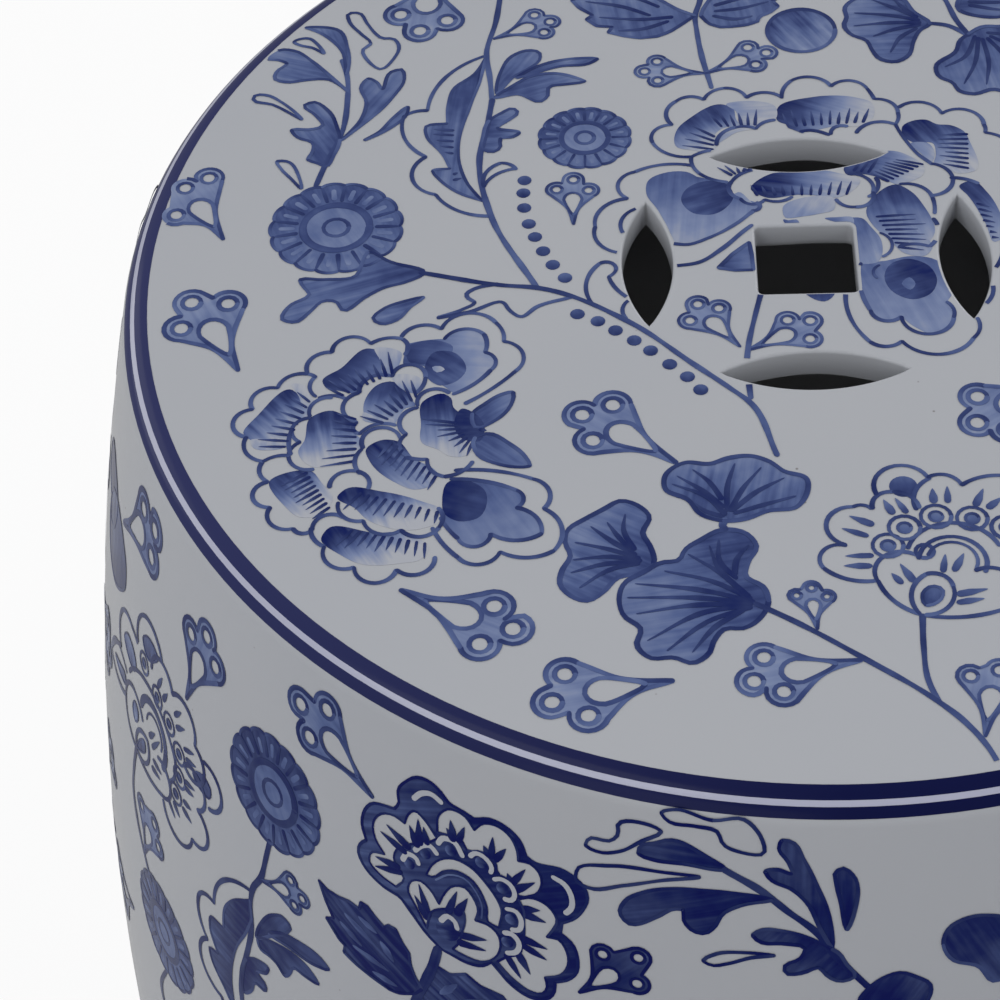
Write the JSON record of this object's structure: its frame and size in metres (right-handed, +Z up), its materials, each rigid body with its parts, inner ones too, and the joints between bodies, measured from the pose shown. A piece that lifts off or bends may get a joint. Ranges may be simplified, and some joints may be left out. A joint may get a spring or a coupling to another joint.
{
  "type": "ceramic garden stool",
  "caption": "Barrel-shaped ceramic garden stool with a flat pierced seat, bulging wall, pierced hand-holds and open foot, in blue and white glaze.",
  "frame": {"origin": "on the floor under the middle of the seat", "axes": "+Z up along the stool's axis; -Y is the front, towards which the picture's camera stands, and +X is to its right"},
  "size_m": [0.3318, 0.332, 0.457],
  "materials": {
    "glazed_porcelain": "glossy",
    "unglazed_clay": "matte",
    "bumper_rubber": "matte"
  },
  "bodies": {
    "root": {"seat_disc": "glazed_porcelain", "barrel_wall": "glazed_porcelain", "foot_ring": "glazed_porcelain", "seat_luting_coil": "unglazed_clay", "foot_luting_coil": "unglazed_clay", "foot_pad_right_back": "bumper_rubber", "foot_pad_left_back": "bumper_rubber", "foot_pad_left_front": "bumper_rubber", "foot_pad_right_front": "bumper_rubber"}
  },
  "joints": []
}
